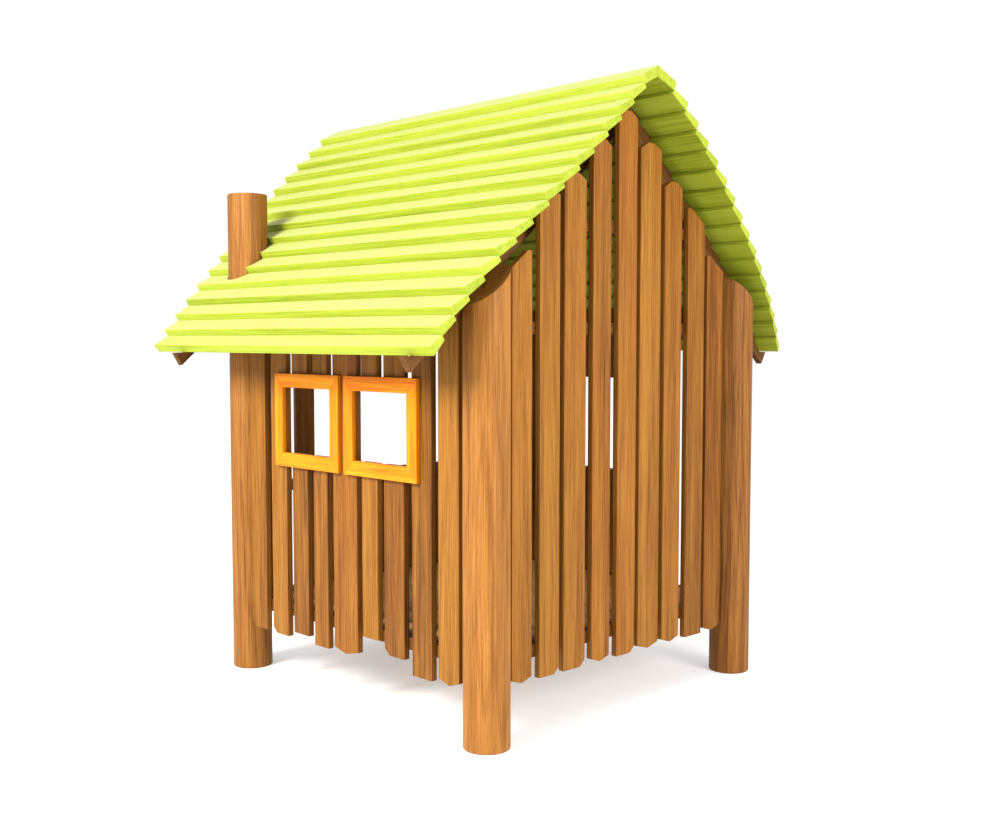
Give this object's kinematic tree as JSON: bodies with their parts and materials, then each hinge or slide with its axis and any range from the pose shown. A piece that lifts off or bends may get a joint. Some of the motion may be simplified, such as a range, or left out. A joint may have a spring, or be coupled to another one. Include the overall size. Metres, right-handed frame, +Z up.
{
  "type": "playhouse",
  "caption": "Small wooden playhouse on round posts, with upright plank walls, two framed front windows, a doorway at the back and a bowed roof of stepped lime boards round a chimney post.",
  "frame": {"origin": "on the ground, under the middle of the outer box, which is the roof's; the posts' centre stands at x = +0.0685", "axes": "+X along the ridge towards the closed plank gable, -Y towards the wall with two windows, +Z up"},
  "size_m": [1.672, 1.751, 2.0325],
  "materials": {
    "post_wood": "oiled round timber",
    "plank_wood": "oiled sawn board",
    "rail_wood": "oiled sawn timber",
    "floor_wood": "oiled planed board",
    "frame_wood": "amber stain",
    "roof_wood": "lime green stain"
  },
  "bodies": {
    "root": {"post_front_right": "post_wood", "post_chimney": "post_wood", "post_back_right": "post_wood", "post_back_left": "post_wood", "rail_front_low": "rail_wood", "rail_front_top": "rail_wood", "rail_back_low": "rail_wood", "rail_back_top": "rail_wood", "rail_right_low": "rail_wood", "rail_right_top": "rail_wood", "rail_left_low": "rail_wood", "rail_left_top": "rail_wood", "gable_rails": "rail_wood", "rafter_right_front": "rail_wood", "rafter_right_back": "rail_wood", "rafter_left_front": "rail_wood", "rafter_left_back": "rail_wood", "floor_joists": "rail_wood", "floor_planks": "floor_wood", "window_frame_left": "frame_wood", "window_frame_right": "frame_wood", "window_frame_back": "frame_wood", "front_plank_1": "plank_wood", "front_plank_2": "plank_wood", "front_plank_3": "plank_wood", "front_plank_4": "plank_wood", "front_plank_5": "plank_wood", "front_plank_6": "plank_wood", "front_plank_7": "plank_wood", "front_plank_8": "plank_wood", "front_plank_9": "plank_wood", "front_plank_tops": "plank_wood", "gable_plank_1": "plank_wood", "gable_plank_2": "plank_wood", "gable_plank_3": "plank_wood", "gable_plank_4": "plank_wood", "gable_plank_5": "plank_wood", "gable_plank_6": "plank_wood", "gable_plank_7": "plank_wood", "gable_plank_8": "plank_wood", "gable_plank_9": "plank_wood", "back_planks_full": "plank_wood", "back_planks_short": "plank_wood", "back_planks_over": "plank_wood", "left_planks_side": "plank_wood", "left_planks_middle": "plank_wood", "roof_front_1": "roof_wood", "roof_front_2": "roof_wood", "roof_front_3": "roof_wood", "roof_front_4": "roof_wood", "roof_front_5": "roof_wood", "roof_front_6": "roof_wood", "roof_front_7": "roof_wood", "roof_back_1": "roof_wood", "roof_back_2": "roof_wood", "roof_back_3": "roof_wood", "roof_back_4": "roof_wood", "roof_back_5": "roof_wood", "roof_back_6": "roof_wood", "roof_back_7": "roof_wood"}
  },
  "joints": []
}
